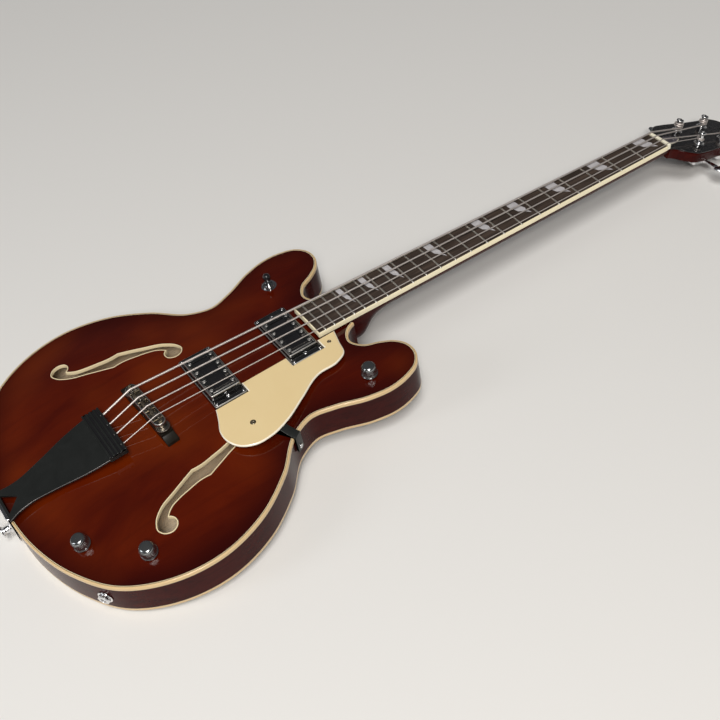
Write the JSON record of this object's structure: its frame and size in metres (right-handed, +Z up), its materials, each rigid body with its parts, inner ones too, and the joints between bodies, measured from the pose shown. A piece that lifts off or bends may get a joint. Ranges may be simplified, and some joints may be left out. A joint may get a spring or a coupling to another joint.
{
  "type": "electric bass guitar",
  "caption": "Semi-hollow electric bass guitar with double cutaway, arched bound top, sound holes, trapeze tailpiece, metal bridge, twin pickups and working tuners, knobs and switch.",
  "frame": {"origin": "under the middle of the bounding box, on the surface it lies on", "axes": "+X towards the headstock, +Y towards the lowest string's side, +Z up, away from the back"},
  "size_m": [1.1354, 0.409, 0.0951],
  "materials": {
    "walnut_gloss": "gloss lacquer",
    "cherry_gloss": "gloss lacquer",
    "bare_maple": "unfinished",
    "cream_plastic": "gloss",
    "rosewood": "open grain, oiled",
    "dark_wood": "satin",
    "nut_bone": "polished",
    "dark_nickel": "smoky polished nickel",
    "chrome": "polished",
    "wound_steel": "wound",
    "black_metal": "gloss",
    "steel": "plain"
  },
  "bodies": {
    "root": {"body_top": "walnut_gloss", "body_rim": "cherry_gloss", "body_back": "cherry_gloss", "neck": "cherry_gloss", "centre_block": "bare_maple", "front_binding": "cream_plastic", "back_binding": "cream_plastic", "f_hole_binding_bass": "cream_plastic", "f_hole_binding_treble": "cream_plastic", "fingerboard_binding": "cream_plastic", "pickguard": "cream_plastic", "fingerboard": "rosewood", "bridge_base": "dark_wood", "nut": "nut_bone", "pickup_ring_neck": "dark_nickel", "pickup_ring_bridge": "dark_nickel", "tuner_housing_e": "chrome", "tuner_housing_a": "chrome", "tuner_housing_d": "chrome", "tuner_housing_g": "chrome", "tail_bracket": "chrome", "strap_button_tail": "chrome", "strap_button_heel": "chrome", "switch_body": "chrome", "output_jack": "chrome", "string_e": "wound_steel", "string_a": "wound_steel", "string_d": "wound_steel", "string_g": "wound_steel", "tailpiece": "black_metal", "pickguard_bracket": "black_metal", "headstock_veneer": "black_metal", "truss_rod_cover": "black_metal", "pot_tone": "steel", "pot_volume": "steel", "pot_master": "steel"},
    "key_e": {"tuner_key_e": "chrome"},
    "post_e": {"tuner_post_e": "chrome"},
    "key_a": {"tuner_key_a": "chrome"},
    "post_a": {"tuner_post_a": "chrome"},
    "key_d": {"tuner_key_d": "chrome"},
    "post_d": {"tuner_post_d": "chrome"},
    "key_g": {"tuner_key_g": "chrome"},
    "post_g": {"tuner_post_g": "chrome"},
    "knob_tone": {"knob_tone": "dark_nickel"},
    "knob_volume": {"knob_volume": "dark_nickel"},
    "knob_master": {"knob_master": "dark_nickel"},
    "lever": {"switch_lever": "black_metal"},
    "bridge_bar": {"bridge_bar": "dark_nickel"},
    "wheel_bass": {"bridge_wheel_bass": "dark_nickel"},
    "wheel_treble": {"bridge_wheel_treble": "dark_nickel"},
    "saddle_e": {"saddle_e": "dark_nickel"},
    "saddle_a": {"saddle_a": "dark_nickel"},
    "saddle_d": {"saddle_d": "dark_nickel"},
    "saddle_g": {"saddle_g": "dark_nickel"},
    "pickup_neck": {"pickup_neck": "dark_nickel"},
    "pickup_bridge": {"pickup_bridge": "dark_nickel"},
    "truss_rod": {"truss_rod": "steel"}
  },
  "joints": [
    {"name": "key_turn_e", "type": "hinge", "parent": "root", "child": "key_e", "pos_m": [0.4704, 0.0205, 0.02296], "axis": [0, 1, 0], "continuous": true},
    {"name": "post_turn_e", "type": "hinge", "parent": "root", "child": "post_e", "pos_m": [0.46751, 0.0205, 0.0465], "axis": [0.2993, 0, 0.9542], "continuous": true},
    {"name": "key_turn_a", "type": "hinge", "parent": "root", "child": "key_a", "pos_m": [0.52001, 0.019, 0.00739], "axis": [0, 1, 0], "continuous": true},
    {"name": "post_turn_a", "type": "hinge", "parent": "root", "child": "post_a", "pos_m": [0.51713, 0.019, 0.03094], "axis": [0.2993, 0, 0.9542], "continuous": true},
    {"name": "key_turn_d", "type": "hinge", "parent": "root", "child": "key_d", "pos_m": [0.52001, -0.019, 0.00739], "axis": [0, -1, 0], "continuous": true},
    {"name": "post_turn_d", "type": "hinge", "parent": "root", "child": "post_d", "pos_m": [0.51713, -0.019, 0.03094], "axis": [0.2993, 0, 0.9542], "continuous": true},
    {"name": "key_turn_g", "type": "hinge", "parent": "root", "child": "key_g", "pos_m": [0.4704, -0.0205, 0.02296], "axis": [0, -1, 0], "continuous": true},
    {"name": "post_turn_g", "type": "hinge", "parent": "root", "child": "post_g", "pos_m": [0.46751, -0.0205, 0.0465], "axis": [0.2993, 0, 0.9542], "continuous": true},
    {"name": "knob_turn_tone", "type": "hinge", "parent": "root", "child": "knob_tone", "pos_m": [-0.50418, -0.0995, 0.05158], "axis": [-0.2001, -0.0613, 0.9779], "range_deg": [-150, 150]},
    {"name": "knob_turn_volume", "type": "hinge", "parent": "root", "child": "knob_volume", "pos_m": [-0.45353, -0.155, 0.0556], "axis": [-0.1408, -0.1336, 0.981], "range_deg": [-150, 150]},
    {"name": "knob_turn_master", "type": "hinge", "parent": "root", "child": "knob_master", "pos_m": [-0.14647, -0.108, 0.07224], "axis": [-0.0669, -0.0346, 0.9972], "range_deg": [-150, 150]},
    {"name": "switch_rock", "type": "hinge", "parent": "root", "child": "lever", "pos_m": [-0.15741, 0.09398, 0.07091], "axis": [0.9982, 0, 0.0594], "range_deg": [-14, 14]},
    {"name": "wheel_turn_bass", "type": "hinge", "parent": "bridge_bar", "child": "wheel_bass", "pos_m": [-0.37327, 0.03495, 0.06827], "axis": [-0.0625, 0, 0.998], "range_deg": [-451, 1081]},
    {"name": "wheel_turn_treble", "type": "hinge", "parent": "bridge_bar", "child": "wheel_treble", "pos_m": [-0.36961, -0.03495, 0.0685], "axis": [-0.0625, 0, 0.998], "range_deg": [-451, 1081]},
    {"name": "bar_height", "type": "slide", "parent": "root", "child": "bridge_bar", "axis": [-0.0625, 0, 0.998], "range_m": [-0.00088, 0.0021], "deforming": ["string_e", "string_a", "string_d", "string_g"]},
    {"name": "saddle_slide_e", "type": "slide", "parent": "bridge_bar", "child": "saddle_e", "axis": [0.9967, 0.0523, 0.0625], "range_m": [-0.0011, 0.0055], "deforming": ["string_e"]},
    {"name": "saddle_slide_a", "type": "slide", "parent": "bridge_bar", "child": "saddle_a", "axis": [0.9967, 0.0523, 0.0625], "range_m": [-0.0023, 0.0043], "deforming": ["string_a"]},
    {"name": "saddle_slide_d", "type": "slide", "parent": "bridge_bar", "child": "saddle_d", "axis": [0.9967, 0.0523, 0.0625], "range_m": [-0.0036, 0.003], "deforming": ["string_d"]},
    {"name": "saddle_slide_g", "type": "slide", "parent": "bridge_bar", "child": "saddle_g", "axis": [0.9967, 0.0523, 0.0625], "range_m": [-0.0047, 0.0019], "deforming": ["string_g"]},
    {"name": "pickup_height_neck", "type": "slide", "parent": "root", "child": "pickup_neck", "axis": [-0.0102, 0, 0.9999], "range_m": [-0.004, 0.001]},
    {"name": "pickup_height_bridge", "type": "slide", "parent": "root", "child": "pickup_bridge", "axis": [-0.0102, 0, 0.9999], "range_m": [-0.004, 0.001]},
    {"name": "truss_rod_turn", "type": "hinge", "parent": "root", "child": "truss_rod", "pos_m": [-0.07313, 0, 0.06784], "axis": [0.9997, 0, -0.0247], "range_deg": [-180, 180]}
  ],
  "couplings": [
    {"joint": "post_turn_e", "follows": "key_turn_e", "ratio": 0.05},
    {"joint": "post_turn_a", "follows": "key_turn_a", "ratio": 0.05},
    {"joint": "post_turn_d", "follows": "key_turn_d", "ratio": -0.05},
    {"joint": "post_turn_g", "follows": "key_turn_g", "ratio": -0.05},
    {"joint": "wheel_turn_bass", "follows": "bar_height", "rad_per_m": 8976},
    {"joint": "wheel_turn_treble", "follows": "bar_height", "rad_per_m": 8976}
  ]
}
